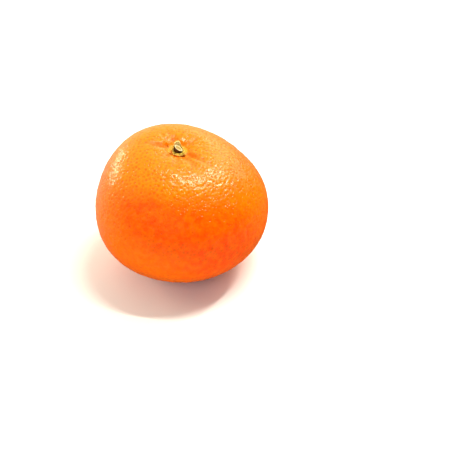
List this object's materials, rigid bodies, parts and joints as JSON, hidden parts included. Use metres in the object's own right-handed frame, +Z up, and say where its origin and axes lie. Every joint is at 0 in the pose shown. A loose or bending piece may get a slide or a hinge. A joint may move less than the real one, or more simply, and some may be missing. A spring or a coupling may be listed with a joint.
{
  "type": "mandarin",
  "caption": "Whole fresh mandarin with a squat uneven body, a puckered stem end with calyx and cut stem stub, standing on a small flat spot at its blossom end.",
  "frame": {"origin": "on the ground, under the middle of the fruit's outline", "axes": "+Z up from the flat spot at the blossom end to the stem end; -Y is the front, the side that the picture shows; +X is to the right of it"},
  "size_m": [0.0676, 0.0675, 0.0533],
  "materials": {
    "rind": "waxy satin peel with fine oil-gland pits",
    "calyx": "dry matt, pale yellow-green",
    "stem": "dark bark with a pale cut face"
  },
  "bodies": {
    "root": {"fruit": "rind", "calyx": "calyx", "stem_stub": "stem"}
  },
  "joints": []
}
